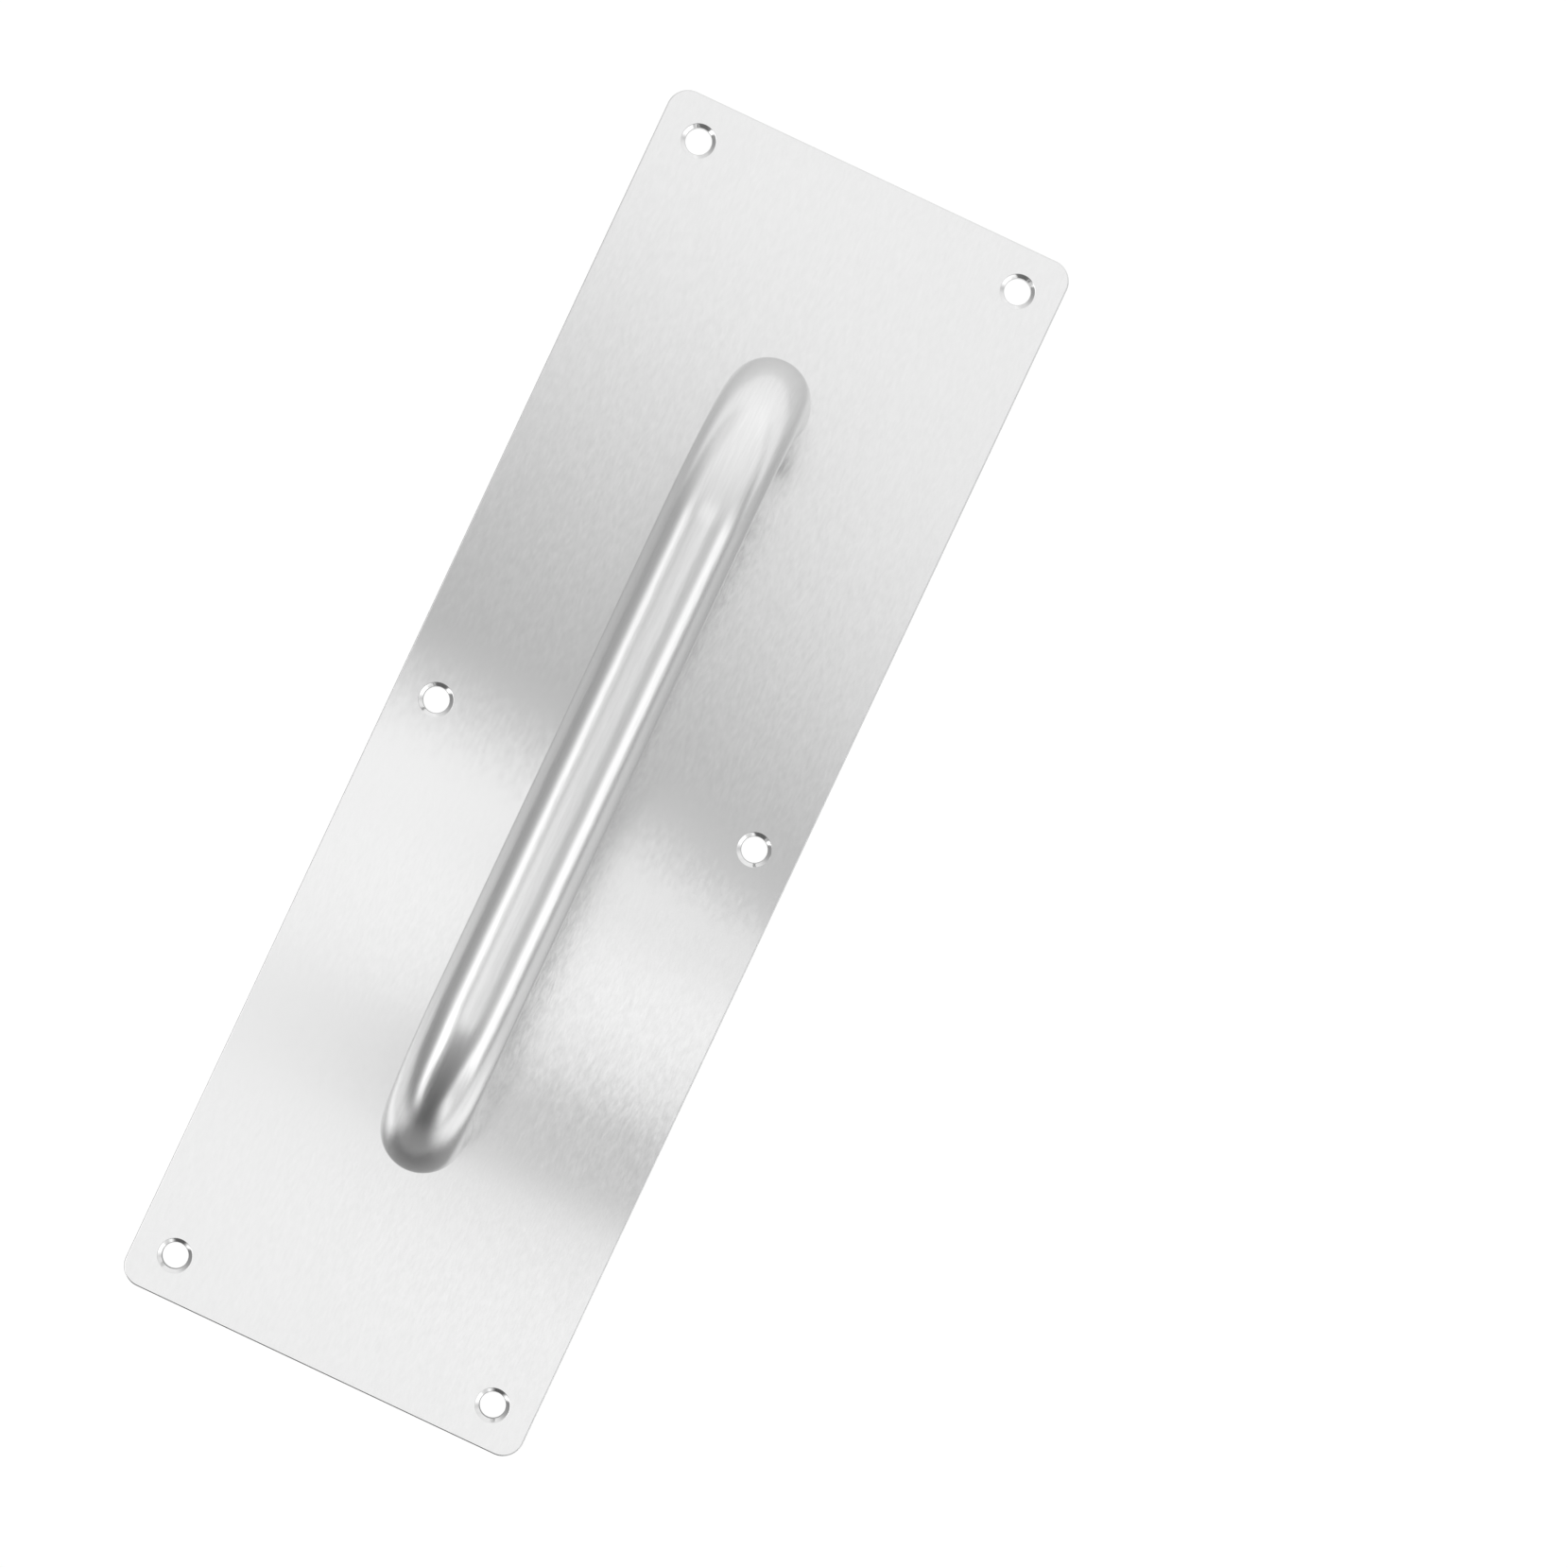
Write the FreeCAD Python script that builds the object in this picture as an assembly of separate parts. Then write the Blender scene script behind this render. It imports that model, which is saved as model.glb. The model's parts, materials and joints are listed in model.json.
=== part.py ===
import FreeCAD, Part
import math
import os

# Pull handle on a plate: a bent round tube that stands on a flat plate, which screws to a door.
# All sizes are in millimetres. The part lies on its back. X runs across the plate, Y along it,
# which is up the door, and Z points out of the door, towards the hand.
# The origin is the middle of the plate's back face.

# Plate, a single flat sheet with a narrow chamfer all round its front face
plate_width = 100.0
plate_length = 300.0
plate_thickness = 1.5
plate_corner_radius = 5.0
plate_chamfer_height = 0.3

# Fixing holes, countersunk from the front: one in each corner and one half way up each side
fixing_hole_diameter = 6.0
fixing_sink_diameter = 8.0
fixing_side_inset = 10.0
fixing_end_inset = 10.0

# Tube, bent through a quarter turn at each end of the grip, with its legs square to the plate.
# The handle's length is taken between the centres of its legs, and its offset from the plate's
# middle to its own, up the plate.
tube_diameter = 19.0
tube_wall = 1.5
handle_length = 180.0
handle_offset = 2.5
leg_straight_length = 17.5
bend_radius = 33.0
foot_chamfer_height = 0.3

# Plug that fills the end of each leg, with a tapped hole for the screw
plug_length = 12.0
plug_clearance = 0.05

# Socket screw through the plate into each plug, with its head sunk in the plate's back
screw_diameter = 6.0
screw_length = 12.0
screw_tip_chamfer_height = 0.7
screw_head_diameter = 11.4
screw_head_rim_height = 0.3
screw_head_sink_depth = 0.1
screw_clearance = 0.05
socket_width = 4.0
socket_depth = 2.3
socket_sides = 6

# How far a cutting tool runs past the face that it enters or leaves
cutter_overrun_length = 1.0

plate_half_width = plate_width / 2
plate_half_length = plate_length / 2
tube_radius = tube_diameter / 2
bore_radius = tube_radius - tube_wall
bend_start_z = plate_thickness + leg_straight_length
ends = (1, -1)
upward = FreeCAD.Vector(0, 0, 1)

# Countersinks and screw heads are cones of 90 degrees, so their height is their change of radius.


def moved(shape, x, y, z=0.0):
    """Copy of a shape, moved by x, y and z."""
    copy = shape.copy()
    copy.translate(FreeCAD.Vector(x, y, z))
    return copy


def polygon_face(corners):
    """Flat face inside a closed polygon."""
    return Part.Face(Part.makePolygon(corners + corners[:1]))


def revolved(half_section):
    """Solid of revolution about Z, from the corners of its half section as (radius, height)."""
    section = polygon_face([FreeCAD.Vector(radius, 0, height) for radius, height in half_section])
    return section.revolve(FreeCAD.Vector(0, 0, 0), upward, 360)


def foot_y(end):
    """Place up the plate of one of the handle's feet: the upper one at end 1, the lower one at -1."""
    return handle_offset + end * handle_length / 2


def plate_outline():
    """Outline of the plate at its back face: four tangent corner arcs joined by straight sides."""
    x = plate_half_width - plate_corner_radius
    y = plate_half_length - plate_corner_radius
    centres = [FreeCAD.Vector(x, y), FreeCAD.Vector(-x, y), FreeCAD.Vector(-x, -y), FreeCAD.Vector(x, -y)]
    arcs = [
        Part.makeCircle(plate_corner_radius, centre, upward, 90 * turn, 90 * (turn + 1))
        for turn, centre in enumerate(centres)
    ]
    edges = []
    for arc, next_arc in zip(arcs, arcs[1:] + arcs[:1]):
        edges += [arc, Part.makeLine(arc.Vertexes[-1].Point, next_arc.Vertexes[0].Point)]
    return Part.Wire(edges)


def fixing_places():
    """Centres of the six fixing holes as (x, y)."""
    x = plate_half_width - fixing_side_inset
    y = plate_half_length - fixing_end_inset
    return [(side * x, row * y) for row in (1, 0, -1) for side in (-1, 1)]


def fixing_hole_cutter():
    """Tool for one fixing hole: a drill, and a countersink that enters from the front."""
    drill_radius = fixing_hole_diameter / 2
    sink_radius = fixing_sink_diameter / 2
    sink_bottom = plate_thickness - (sink_radius - drill_radius)
    top = plate_thickness + cutter_overrun_length
    return revolved([
        (0, -cutter_overrun_length),
        (drill_radius, -cutter_overrun_length),
        (drill_radius, sink_bottom),
        (sink_radius + cutter_overrun_length, top),
        (0, top),
    ])


def screw_path_cutter(top):
    """Room for a screw from behind the plate up to a height: a seat for its head, then a bore."""
    rim_top = screw_head_sink_depth + screw_head_rim_height
    bottom = -cutter_overrun_length
    bore = screw_diameter / 2 + screw_clearance
    mouth = screw_head_diameter / 2 + screw_clearance + (rim_top - bottom)
    return revolved([
        (0, bottom),
        (mouth, bottom),
        (bore, bottom + (mouth - bore)),
        (bore, top),
        (0, top),
    ])


def backplate():
    """The plate, with six fixing holes and a countersunk screw hole under each foot."""
    plate = Part.Face(plate_outline()).extrude(upward * plate_thickness)
    front_edges = [
        edge for edge in plate.Edges
        if min(vertex.Z for vertex in edge.Vertexes) > plate_thickness / 2
    ]
    plate = plate.makeChamfer(plate_chamfer_height, front_edges)
    fixing_hole = fixing_hole_cutter()
    screw_path = screw_path_cutter(plate_thickness + cutter_overrun_length)
    holes = [moved(fixing_hole, x, y) for x, y in fixing_places()]
    holes += [moved(screw_path, 0, foot_y(end)) for end in ends]
    return plate.cut(holes)


def bend_points(end):
    """Start, middle and finish of one bend's centre line, from its leg to the grip."""
    centre_y = foot_y(end) - end * bend_radius
    diagonal = bend_radius * math.sin(math.radians(45))
    return [
        FreeCAD.Vector(0, foot_y(end), bend_start_z),
        FreeCAD.Vector(0, centre_y + end * diagonal, bend_start_z + diagonal),
        FreeCAD.Vector(0, centre_y, bend_start_z + bend_radius),
    ]


def handle_centre_line():
    """Centre line of the tube: leg, quarter bend, grip, quarter bend and leg."""
    upper_foot, lower_foot = (FreeCAD.Vector(0, foot_y(end), plate_thickness) for end in ends)
    upper_bend, lower_bend = (bend_points(end) for end in ends)
    return Part.Wire([
        Part.LineSegment(lower_foot, lower_bend[0]).toShape(),
        Part.Arc(*lower_bend).toShape(),
        Part.LineSegment(lower_bend[-1], upper_bend[-1]).toShape(),
        Part.Arc(*reversed(upper_bend)).toShape(),
        Part.LineSegment(upper_bend[0], upper_foot).toShape(),
    ])


def rod_along(path, radius):
    """Solid round rod that follows a path, which starts upwards."""
    start = path.OrderedVertexes[0].Point
    section = Part.Wire(Part.Circle(start, upward, radius).toShape())
    return path.makePipeShell([section], True, True)


def foot_chamfer_cutter():
    """Ring that chamfers the outer edge of a foot standing at height zero."""
    inner = tube_radius - foot_chamfer_height
    return revolved([
        (inner, 0),
        (inner + cutter_overrun_length, cutter_overrun_length),
        (inner + cutter_overrun_length, -cutter_overrun_length),
        (inner, -cutter_overrun_length),
    ])


def pull_handle():
    """The bent tube, open at both feet, standing on the plate's front face."""
    path = handle_centre_line()
    tube = rod_along(path, tube_radius).cut(rod_along(path, bore_radius))
    chamfer = foot_chamfer_cutter()
    return tube.cut([moved(chamfer, 0, foot_y(end), plate_thickness) for end in ends])


def end_plug(end):
    """Plug that fills the end of one leg, with the seat and the tapped hole for its screw."""
    foot = FreeCAD.Vector(0, 0, plate_thickness)
    blank = Part.makeCylinder(bore_radius - plug_clearance, plug_length, foot)
    plug = blank.cut(screw_path_cutter(plate_thickness + plug_length + cutter_overrun_length))
    return moved(plug, 0, foot_y(end))


def socket_cutter():
    """Six-sided driving recess of a screw whose head face is at height zero."""
    corner_radius = socket_width / 2 / math.cos(math.pi / socket_sides)
    corner = FreeCAD.Vector(corner_radius, 0, -cutter_overrun_length)
    corners = [
        FreeCAD.Rotation(upward, index * 360 / socket_sides).multVec(corner)
        for index in range(socket_sides)
    ]
    return polygon_face(corners).extrude(upward * (cutter_overrun_length + socket_depth))


def handle_screw(end):
    """Countersunk socket screw that holds one foot, with its head just below the plate's back."""
    head_radius = screw_head_diameter / 2
    shank_radius = screw_diameter / 2
    blank = revolved([
        (0, 0),
        (head_radius, 0),
        (head_radius, screw_head_rim_height),
        (shank_radius, screw_head_rim_height + (head_radius - shank_radius)),
        (shank_radius, screw_length - screw_tip_chamfer_height),
        (shank_radius - screw_tip_chamfer_height, screw_length),
        (0, screw_length),
    ])
    screw = blank.cut(socket_cutter())
    return moved(screw, 0, foot_y(end), screw_head_sink_depth)


def write_step(node, pieces):
    """Write one node, as a group where it has several pieces, each of them one valid solid."""
    for piece in pieces:
        if not piece.isValid() or len(piece.Solids) != 1:
            raise ValueError(node + " has a piece that is not one valid solid")
    solids = [piece.Solids[0] for piece in pieces]
    shape = Part.makeCompound(solids) if len(solids) > 1 else solids[0]
    shape.exportStep("parts/" + node + ".step")


os.makedirs("parts", exist_ok=True)
write_step("backplate", [backplate()])
write_step("pull_handle", [pull_handle()])
write_step("upper_end_plug", [end_plug(1)])
write_step("lower_end_plug", [end_plug(-1)])
write_step("handle_screws", [handle_screw(end) for end in ends])
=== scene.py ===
import json
import math

import bmesh
import bpy
from bpy.props import FloatProperty, FloatVectorProperty, PointerProperty
from mathutils import Matrix, Vector


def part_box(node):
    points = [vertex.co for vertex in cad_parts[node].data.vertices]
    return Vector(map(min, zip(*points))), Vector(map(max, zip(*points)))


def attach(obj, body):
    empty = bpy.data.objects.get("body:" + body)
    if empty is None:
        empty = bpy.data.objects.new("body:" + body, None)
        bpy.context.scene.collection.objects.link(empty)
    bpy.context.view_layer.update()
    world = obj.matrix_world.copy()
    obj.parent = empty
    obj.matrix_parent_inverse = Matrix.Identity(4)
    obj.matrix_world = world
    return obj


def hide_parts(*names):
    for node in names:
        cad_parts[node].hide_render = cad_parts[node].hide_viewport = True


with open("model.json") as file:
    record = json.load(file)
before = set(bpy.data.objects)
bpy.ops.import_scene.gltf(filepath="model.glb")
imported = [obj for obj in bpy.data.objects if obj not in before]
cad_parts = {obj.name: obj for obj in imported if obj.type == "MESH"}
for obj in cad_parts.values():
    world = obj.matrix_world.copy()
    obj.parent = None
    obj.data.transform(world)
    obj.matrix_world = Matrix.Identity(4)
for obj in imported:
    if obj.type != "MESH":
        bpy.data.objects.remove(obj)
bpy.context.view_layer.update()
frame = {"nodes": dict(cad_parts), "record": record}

bl_info = {
    "name": "Pull handle on plate",
    "version": (1, 0, 0),
    "blender": (4, 5, 0),
    "location": "3D View > Sidebar > Pull handle",
    "description": "Builds the brushed steel looks of a pull handle on a plate, and its studio",
    "category": "Object",
}

MM = 0.001

# Sizes that come from the solids. Everything is in metres. X runs across the plate, Y up it,
# and Z out of the door.
_, plate_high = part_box("backplate")
handle_low, handle_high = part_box("pull_handle")
screws_low, screws_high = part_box("handle_screws")
mounts = {mount["name"]: mount for mount in frame["record"]["mounts"]}
corner_holes = mounts["corner_screw_holes"]["dims"]

FRONT_Z = plate_high.z
TUBE_RADIUS = handle_high.x
GRIP_Z = handle_high.z - TUBE_RADIUS
LOWER_FOOT_Y = handle_low.y + TUBE_RADIUS
UPPER_FOOT_Y = handle_high.y - TUBE_RADIUS
HEAD_RADIUS = screws_high.x
HOLE_RADIUS = corner_holes["hole_r_mm"] * MM

# Camera, fitted to the photograph
CAMERA_PLACE = Vector((38.53, 32.61, 981.38)) * MM
CAMERA_AIM = Vector((39.72, 16.41, 1.5)) * MM
CAMERA_ROLL = math.radians(25.241)
CAMERA_LENS = 99.01

# Edges sharper than this angle stay sharp, and a face is level from this height of its normal on
SHARP_ANGLE = math.radians(25)
LEVEL_NORMAL = 0.9999

# Facets of the finished meshes
HOLE_SIDES = 96
CORNER_STEPS = 24
EDGE_STEPS = 4
TUBE_SIDES = 160
BEND_STEPS = 72
THREAD_STEPS = 48
THREAD_ROWS_PER_PITCH = 10


def length_setting(name, description, default):
    """A setting that is a length, in metres."""
    return FloatProperty(
        name=name, description=description, default=default,
        min=0, subtype="DISTANCE", unit="LENGTH")


def colour_setting(description, grey):
    """A setting that is the colour of a piece's steel, grey to start with."""
    return FloatVectorProperty(
        name="Steel colour", description=description, default=(grey, grey, grey),
        size=3, min=0, max=1, subtype="COLOR")


class PlateSettings(bpy.types.PropertyGroup):
    """Sizes and finish of the plate."""

    corner_radius: length_setting("Corner radius", "Radius of the plate's four corners", 5 * MM)
    edge_round: length_setting(
        "Edge round", "Radius of the rounding all round the front face", 0.3 * MM)
    hole_edge_round: length_setting(
        "Hole edge round", "Width of the broken edge at the rim of each countersink", 0.06 * MM)
    sink_diameter: length_setting(
        "Countersink diameter", "Diameter of each countersink at the front face", 8 * MM)
    seat_clearance: length_setting(
        "Seat clearance", "Room round the heads and shanks of the handle's screws", 0.05 * MM)
    colour: colour_setting("Colour of the brushed sheet", 0.76)


class HandleSettings(bpy.types.PropertyGroup):
    """Sizes and finish of the bent tube."""

    wall: length_setting("Wall", "Thickness of the tube's wall", 1.5 * MM)
    bend_radius: length_setting(
        "Bend radius", "Radius of the two bends, to the middle of the tube", 33 * MM)
    foot_chamfer: length_setting("Foot chamfer", "Height of the chamfer round each foot", 0.3 * MM)
    colour: colour_setting("Colour of the satin tube", 0.78)


class ScrewSettings(bpy.types.PropertyGroup):
    """Sizes and finish of the two screws behind the plate."""

    diameter: length_setting("Thread diameter", "Outer diameter of the thread", 6 * MM)
    pitch: length_setting("Thread pitch", "Distance between two turns of the thread", 1 * MM)
    thread_depth: length_setting("Thread depth", "Depth of the thread's groove", 0.55 * MM)
    head_rim: length_setting("Head rim", "Height of the straight rim round the head", 0.3 * MM)
    socket_width: length_setting(
        "Socket width", "Width across the flats of the six-sided socket", 4 * MM)
    socket_depth: length_setting("Socket depth", "Depth of the socket", 2.3 * MM)
    colour: colour_setting("Colour of the screws and plugs", 0.66)


class StageSettings(bpy.types.PropertyGroup):
    """The studio round the handle: floor, light and camera."""

    floor_size: length_setting("Floor size", "Length of the floor's sides", 6.0)
    world_strength: FloatProperty(
        name="World strength", description="Brightness of the room",
        default=1.0, min=0)


def new_mesh_object(name, mesh):
    """An object in the scene that holds a mesh and sits at the origin."""
    piece = bpy.data.objects.new(name, mesh)
    bpy.context.scene.collection.objects.link(piece)
    return piece


def finish_piece(piece, slot, *nodes):
    """Let a piece ride on the part in place of its nodes. Its slot is not used."""
    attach(piece, "root")
    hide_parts(*nodes)


def mesh_from(bm, name):
    """A mesh from a bmesh, shaded smooth but for its level faces and sharp edges."""
    mesh = bpy.data.meshes.new(name)
    bm.to_mesh(mesh)
    bm.free()
    shade_by_angle(mesh)
    for face in mesh.polygons:
        face.use_smooth = abs(face.normal.z) < LEVEL_NORMAL
    return mesh


def shade_by_angle(mesh):
    """Smooth shading that breaks at sharp edges."""
    mesh.shade_smooth()
    mesh.set_sharp_from_angle(angle=SHARP_ANGLE)


def ring(bm, radius, z, centre=(0.0, 0.0), sides=HOLE_SIDES):
    """A closed loop of vertices on a level circle."""
    turns = [2 * math.pi * step / sides for step in range(sides)]
    return [
        bm.verts.new((centre[0] + radius * math.cos(turn), centre[1] + radius * math.sin(turn), z))
        for turn in turns
    ]


def bridge(bm, lower, upper):
    """Faces between two loops that have as many vertices."""
    count = len(lower)
    for index in range(count):
        after = (index + 1) % count
        bm.faces.new((lower[index], lower[after], upper[after], upper[index]))


def bridge_all(bm, loops):
    """Faces between each loop and the next."""
    for lower, upper in zip(loops, loops[1:]):
        bridge(bm, lower, upper)


def fill_between(bm, loops):
    """A flat face with holes, between an outer loop and the loops inside it."""
    edges = [
        bm.edges.get((loop[index - 1], loop[index])) or bm.edges.new((loop[index - 1], loop[index]))
        for loop in loops
        for index in range(len(loop))
    ]
    bmesh.ops.triangle_fill(bm, use_beauty=True, edges=edges)


# Shader trees


def add_node(tree, kind, **settings):
    """A new node with its settings."""
    node = tree.nodes.new(kind)
    for name, value in settings.items():
        setattr(node, name, value)
    return node


def calculate(tree, operation, *values, kind="ShaderNodeMath"):
    """A maths node whose inputs are numbers or other nodes' outputs."""
    node = tree.nodes.new(kind)
    node.operation = operation
    for socket, value in zip(node.inputs, values):
        connect(tree, value, socket)
    return node.outputs[0]


def vector_math(tree, operation, *values):
    """A maths node for vectors."""
    return calculate(tree, operation, *values, kind="ShaderNodeVectorMath")


def chained(tree, operation, values):
    """Values put together by one operation, from the first to the last."""
    result, *others = values
    for value in others:
        result = calculate(tree, operation, result, value)
    return result


def product(tree, *values):
    """All the values multiplied together."""
    return chained(tree, "MULTIPLY", values)


def total(tree, *values):
    """All the values added together."""
    return chained(tree, "ADD", values)


def remainder(tree, share):
    """What a share leaves of one."""
    return calculate(tree, "SUBTRACT", 1.0, share)


def distance(tree, place, point):
    """How far a place is from a fixed point."""
    return vector_math(tree, "DISTANCE", place, point).node.outputs["Value"]


def connect(tree, value, socket):
    """Link an output to a socket, or set the socket to a plain value."""
    if isinstance(value, bpy.types.NodeSocket):
        tree.links.new(value, socket)
    else:
        socket.default_value = value


def vector_of(tree, x, y, z):
    """A vector put together from three numbers or outputs."""
    node = tree.nodes.new("ShaderNodeCombineXYZ")
    for socket, value in zip(node.inputs, (x, y, z)):
        connect(tree, value, socket)
    return node.outputs[0]


def split(tree, vector):
    """The three outputs of a vector."""
    node = tree.nodes.new("ShaderNodeSeparateXYZ")
    tree.links.new(vector, node.inputs[0])
    return node.outputs[:3]


def smooth_step(tree, value, start, end, low=0.0, high=1.0):
    """A number that goes softly from low to high while value goes from start to end."""
    node = tree.nodes.new("ShaderNodeMapRange")
    node.interpolation_type = "SMOOTHSTEP"
    for socket, number in zip(node.inputs, (value, start, end, low, high)):
        connect(tree, number, socket)
    return node.outputs[0]


def smooth_fall(tree, value, start, end):
    """A level that goes softly from 1 to 0 while value goes from start to end."""
    return smooth_step(tree, value, start, end, 1.0, 0.0)


def hump(tree, value, centre, half_width, softness):
    """A level that is 1 near a centre and falls off softly on both sides."""
    apart = calculate(tree, "ABSOLUTE", calculate(tree, "SUBTRACT", value, centre))
    outside = calculate(tree, "SUBTRACT", apart, half_width)
    return smooth_fall(tree, outside, -softness, softness)


def bell(tree, value, centre, spread):
    """A bell curve of height 1 about a centre."""
    apart = calculate(tree, "DIVIDE", calculate(tree, "SUBTRACT", value, centre), spread)
    return calculate(tree, "EXPONENT", product(tree, apart, apart, -1.0))


def stretched(tree, vector, scale):
    """A vector scaled by a different number along each axis."""
    return vector_math(tree, "MULTIPLY", vector, scale)


def noise(tree, place, frequencies, detail=2.0, roughness=0.5):
    """Soft noise from 0 to 1, with its own frequency along each axis."""
    node = tree.nodes.new("ShaderNodeTexNoise")
    tree.links.new(stretched(tree, place, frequencies), node.inputs["Vector"])
    node.inputs["Scale"].default_value = 1.0
    node.inputs["Detail"].default_value = detail
    node.inputs["Roughness"].default_value = roughness
    return node.outputs["Fac"]


def centred(tree, value, amount):
    """A number from 0 to 1 turned into one from minus to plus half of amount."""
    return product(tree, calculate(tree, "SUBTRACT", value, 0.5), amount)


# Looks of the metal

# Frequencies of the plate's patterns for each metre across, along and out of it
BRUSH_LINES = (1050.0, 380.0, 900.0)
FINE_BRUSH_LINES = (3000.0, 600.0, 1500.0)
PLATE_CLOUDS = (34.0, 9.0, 34.0)

# Frequencies of the tube's patterns for each metre across it both ways and along it
GRIND_LINES = (2300.0, 2300.0, 150.0)
TUBE_CLOUDS = (60.0, 60.0, 22.0)

# Frequencies and depth of the marks on turned pieces
TOOL_MARKS = (900.0, 900.0, 4200.0)
TOOL_MARK_DEPTH = 0.02 * MM

# Roughness in the middle of its range
PLATE_ROUGHNESS = 0.106
TUBE_ROUGHNESS = 0.26

# Middle of the area where the plate's brush lines show most, and their strength far from it
COARSE_PLACE = (0.03, -0.07, 0.0)
FAINT_STRENGTH = 0.32


def new_material(name):
    """A node material with a metal Principled shader, as its tree and that shader."""
    material = bpy.data.materials.new(name)
    material.use_nodes = True
    shader = material.node_tree.nodes["Principled BSDF"]
    shader.inputs["Metallic"].default_value = 1.0
    return material, material.node_tree, shader


def tilted_normal(tree, normal, *pushes):
    """The surface's normal, pushed along some directions by small amounts."""
    for direction, amount in pushes:
        push = vector_math(tree, "SCALE", direction)
        connect(tree, amount, push.node.inputs["Scale"])
        normal = vector_math(tree, "ADD", normal, push)
    return vector_math(tree, "NORMALIZE", normal)


def colour_metal(tree, shader, colour, tint):
    """Give a metal its colour, made lighter or darker by a small number about zero."""
    shade = calculate(tree, "ADD", tint, 1.0)
    tree.links.new(stretched(tree, vector_of(tree, *colour), shade), shader.inputs["Base Color"])


def roughen_metal(tree, shader, pattern, amount, middle):
    """Give a metal a roughness that follows a pattern about a middle."""
    rough = calculate(tree, "ADD", centred(tree, pattern, amount), middle)
    tree.links.new(rough, shader.inputs["Roughness"])


def brushed_plate_material(colour):
    """Stainless sheet with short brush lines along its length."""
    material, tree, shader = new_material("brushed_plate")
    place = tree.nodes.new("ShaderNodeTexCoord").outputs["Object"]
    normal = tree.nodes.new("ShaderNodeNewGeometry").outputs["Normal"]
    lines = noise(tree, place, BRUSH_LINES, roughness=0.6)
    fine = noise(tree, place, FINE_BRUSH_LINES)
    clouds = noise(tree, place, PLATE_CLOUDS, detail=3.0)
    strength = smooth_step(tree, distance(tree, place, COARSE_PLACE), 0.02, 0.09, 1.0, FAINT_STRENGTH)
    grain = total(tree, centred(tree, lines, 0.20), centred(tree, fine, 0.12))
    tint = total(tree, product(tree, grain, strength), centred(tree, clouds, 0.015))
    colour_metal(tree, shader, colour, tint)
    roughen_metal(tree, shader, lines, 0.04, PLATE_ROUGHNESS)
    x_way = vector_of(tree, 1.0, 0.0, 0.0)
    y_way = vector_of(tree, 0.0, 1.0, 0.0)
    shader.inputs["Anisotropic"].default_value = 1.0
    tree.links.new(x_way, shader.inputs["Tangent"])
    pushes = [
        (x_way, centred(tree, lines, 0.03)),
        (x_way, centred(tree, fine, 0.03)),
        (y_way, centred(tree, lines, 0.008)),
    ]
    tree.links.new(tilted_normal(tree, normal, *pushes), shader.inputs["Normal"])
    return material


def satin_tube_material(colour):
    """Stainless tube with a fine satin grind along its length."""
    material, tree, shader = new_material("satin_tube")
    around = add_node(tree, "ShaderNodeAttribute", attribute_name="around").outputs["Vector"]
    length = add_node(tree, "ShaderNodeAttribute", attribute_name="path_length").outputs["Fac"]
    direction = add_node(tree, "ShaderNodeAttribute", attribute_name="brush_direction").outputs["Vector"]
    normal = tree.nodes.new("ShaderNodeNewGeometry").outputs["Normal"]
    x, y, _ = split(tree, around)
    place = vector_of(tree, x, y, length)
    lines = noise(tree, place, GRIND_LINES, detail=3.0, roughness=0.6)
    clouds = noise(tree, place, TUBE_CLOUDS, detail=3.0)
    tint = total(tree, centred(tree, lines, 0.15), centred(tree, clouds, 0.03))
    colour_metal(tree, shader, colour, tint)
    roughen_metal(tree, shader, clouds, 0.04, TUBE_ROUGHNESS)
    sideways = vector_math(tree, "CROSS_PRODUCT", normal, direction)
    shader.inputs["Anisotropic"].default_value = 0.1
    tree.links.new(sideways, shader.inputs["Tangent"])
    bent = tilted_normal(tree, normal, (sideways, centred(tree, lines, 0.07)))
    tree.links.new(bent, shader.inputs["Normal"])
    return material


def turned_material(name, colour, rough, depth=0.3):
    """Plain turned or rolled steel with faint tool marks."""
    material, tree, shader = new_material(name)
    place = tree.nodes.new("ShaderNodeTexCoord").outputs["Object"]
    marks = noise(tree, place, TOOL_MARKS)
    colour_metal(tree, shader, colour, centred(tree, marks, 0.06))
    roughen_metal(tree, shader, marks, 0.12, rough)
    bump = tree.nodes.new("ShaderNodeBump")
    bump.inputs["Strength"].default_value = depth
    bump.inputs["Distance"].default_value = TOOL_MARK_DEPTH
    tree.links.new(marks, bump.inputs["Height"])
    tree.links.new(bump.outputs["Normal"], shader.inputs["Normal"])
    return material


# The plate

# The cone of each countersink is dished: at this share of its depth it is this share of the
# drill's radius wide
DISH_DEPTH = 0.64
DISH_RADIUS = 1.05


def plate_outline(bm, settings, inset, z):
    """Loop round the plate at one height, drawn in from its edge by inset."""
    radius = settings.corner_radius - inset
    x = plate_high.x - settings.corner_radius
    y = plate_high.y - settings.corner_radius
    corners = [(x, y), (-x, y), (-x, -y), (x, -y)]
    loop = []
    for turn, (centre_x, centre_y) in enumerate(corners):
        for step in range(CORNER_STEPS + 1):
            angle = (turn + step / CORNER_STEPS) * math.pi / 2
            place = (centre_x + radius * math.cos(angle), centre_y + radius * math.sin(angle), z)
            loop.append(bm.verts.new(place))
    return loop


def rounded_edge(radius, steps):
    """Inset and drop of each step of a quarter round, from the side to the face."""
    angles = [math.pi / 2 * step / steps for step in range(steps + 1)]
    return [(radius * (1 - math.cos(angle)), radius * (1 - math.sin(angle))) for angle in angles]


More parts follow.
